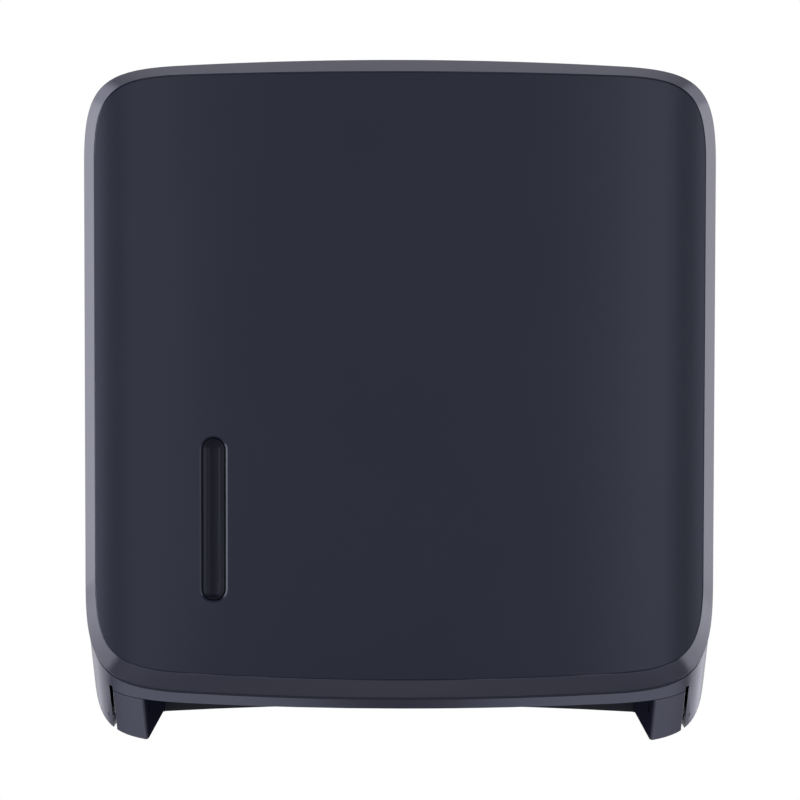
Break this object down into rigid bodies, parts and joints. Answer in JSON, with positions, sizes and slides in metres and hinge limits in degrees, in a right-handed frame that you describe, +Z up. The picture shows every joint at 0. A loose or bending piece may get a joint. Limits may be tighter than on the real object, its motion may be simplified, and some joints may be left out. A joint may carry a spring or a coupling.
{
  "type": "folded paper towel dispenser",
  "caption": "Wall-mounted folded paper towel dispenser: bowed square cover that swings down, slim sight window, open towel outlet between short legs, key lock on top.",
  "frame": {"origin": "centre of the four wall screw holes on the wall plane, which is the back plate's rear face", "axes": "+Y into the wall, so the front looks along -Y; +X to the right as seen from the front; +Z up"},
  "size_m": [0.3194, 0.153, 0.3523],
  "materials": {
    "inner_plastic": "plain moulded",
    "tray_plastic": "satin moulded",
    "shell_plastic": "satin moulded, anthracite",
    "panel_plastic": "fine satin, anthracite",
    "smoked_lens": "smoked clear",
    "bush_plastic": "plain moulded, black",
    "screw_steel": "zinc plated",
    "pin_steel": "turned",
    "catch_steel": "zinc plated",
    "lock_chrome": "polished",
    "buffer_rubber": "matt"
  },
  "bodies": {
    "housing": {"back_plate": "inner_plastic", "towel_tray": "tray_plastic", "left_towel_guide": "inner_plastic", "right_towel_guide": "inner_plastic", "tray_screws": "screw_steel", "guide_screws": "screw_steel", "left_hinge_pin": "pin_steel", "right_hinge_pin": "pin_steel", "lock_catch": "catch_steel", "catch_screws": "screw_steel", "cover_buffers": "buffer_rubber"},
    "cover": {"cover_frame": "shell_plastic", "front_panel": "panel_plastic", "panel_screws": "screw_steel", "sight_window": "smoked_lens", "window_keeper": "inner_plastic", "keeper_screws": "screw_steel", "left_hinge_bush": "bush_plastic", "right_hinge_bush": "bush_plastic", "lock_body": "lock_chrome", "lock_nut": "catch_steel"},
    "lock": {"lock_barrel": "lock_chrome", "lock_cam": "catch_steel", "cam_screw": "screw_steel"}
  },
  "joints": [
    {"name": "cover_hinge", "type": "hinge", "parent": "housing", "child": "cover", "pos_m": [0, -0.1, -0.163], "axis": [1, 0, 0], "range_deg": [0, 90]},
    {"name": "lock_turn", "type": "hinge", "parent": "cover", "child": "lock", "pos_m": [0, -0.064, 0.16], "axis": [0, 0, -1], "range_deg": [0, 90]}
  ]
}
